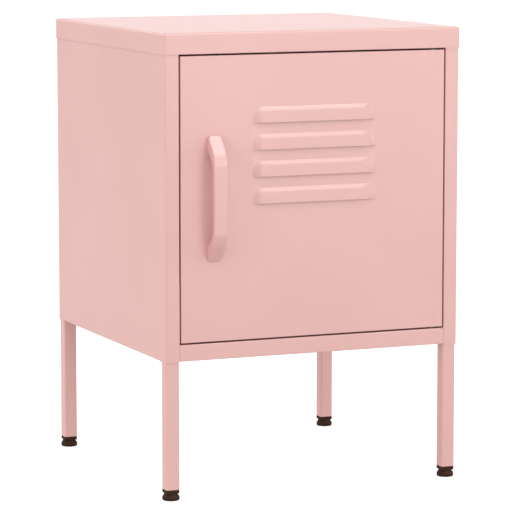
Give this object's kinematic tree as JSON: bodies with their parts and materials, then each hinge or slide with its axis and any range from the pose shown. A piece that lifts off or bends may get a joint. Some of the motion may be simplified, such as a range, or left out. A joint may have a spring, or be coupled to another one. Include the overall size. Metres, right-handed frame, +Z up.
{
  "type": "locker cabinet",
  "caption": "Small steel bedside locker on square legs, with a louvred door on pivot pins, a bow handle, a magnetic catch, an inner shelf and levelling feet.",
  "frame": {"origin": "on the floor under the middle of the bounding box of the cabinet with its handle", "axes": "+Z up, the door faces -Y, +X to the right of someone facing the door"},
  "size_m": [0.35, 0.37, 0.505],
  "materials": {
    "powder_coat": "satin powder coat, pale pink",
    "zinc_steel": "bright zinc plated",
    "hinge_steel": "zinc plated, satin",
    "black_plastic": "moulded, fine texture",
    "black_nylon": "moulded nylon",
    "magnet": "ground ferrite"
  },
  "bodies": {
    "cabinet": {"top_panel": "powder_coat", "left_side_panel": "powder_coat", "right_side_panel": "powder_coat", "back_panel": "powder_coat", "bottom_panel": "powder_coat", "shelf": "powder_coat", "shelf_brackets": "powder_coat", "front_left_leg": "powder_coat", "front_right_leg": "powder_coat", "rear_left_leg": "powder_coat", "rear_right_leg": "powder_coat", "leg_studs": "zinc_steel", "leg_nuts": "zinc_steel", "front_left_plug": "black_plastic", "front_right_plug": "black_plastic", "rear_left_plug": "black_plastic", "rear_right_plug": "black_plastic", "lid_studs": "zinc_steel", "lid_nuts": "zinc_steel", "back_screws": "zinc_steel", "bottom_screws": "zinc_steel", "catch_housing": "black_plastic", "catch_magnet": "magnet", "catch_plates": "zinc_steel", "catch_screws": "zinc_steel", "upper_hinge_bush": "black_nylon", "lower_hinge_pin": "hinge_steel"},
    "door": {"door_panel": "powder_coat", "door_handle": "powder_coat", "handle_screws": "zinc_steel", "lower_hinge_bush": "black_nylon", "lower_hinge_plate": "hinge_steel", "upper_hinge_bracket": "hinge_steel", "upper_pin_spring": "hinge_steel"},
    "hinge_pin": {"upper_hinge_pin": "hinge_steel", "upper_pin_clip": "hinge_steel"},
    "front_left_levelling_foot": {"front_left_foot": "black_plastic", "front_left_foot_stud": "zinc_steel"},
    "front_right_levelling_foot": {"front_right_foot": "black_plastic", "front_right_foot_stud": "zinc_steel"},
    "rear_left_levelling_foot": {"rear_left_foot": "black_plastic", "rear_left_foot_stud": "zinc_steel"},
    "rear_right_levelling_foot": {"rear_right_foot": "black_plastic", "rear_right_foot_stud": "zinc_steel"}
  },
  "joints": [
    {"name": "door_hinge", "type": "hinge", "parent": "cabinet", "child": "door", "pos_m": [0.1441, -0.1585, 0.326], "axis": [0, 0, 1], "range_deg": [0, 110]},
    {"name": "upper_pin_slide", "type": "slide", "parent": "door", "child": "hinge_pin", "axis": [0, 0, -1], "range_m": [0, 0.01], "stiffness_N_per_m": 400, "springref_m": -0.008, "deforming": ["upper_pin_spring"]},
    {"name": "front_left_foot_screw", "type": "slide", "parent": "cabinet", "child": "front_left_levelling_foot", "axis": [0, 0, -1], "range_m": [0, 0.008]},
    {"name": "front_right_foot_screw", "type": "slide", "parent": "cabinet", "child": "front_right_levelling_foot", "axis": [0, 0, -1], "range_m": [0, 0.008]},
    {"name": "rear_left_foot_screw", "type": "slide", "parent": "cabinet", "child": "rear_left_levelling_foot", "axis": [0, 0, -1], "range_m": [0, 0.008]},
    {"name": "rear_right_foot_screw", "type": "slide", "parent": "cabinet", "child": "rear_right_levelling_foot", "axis": [0, 0, -1], "range_m": [0, 0.008]}
  ]
}
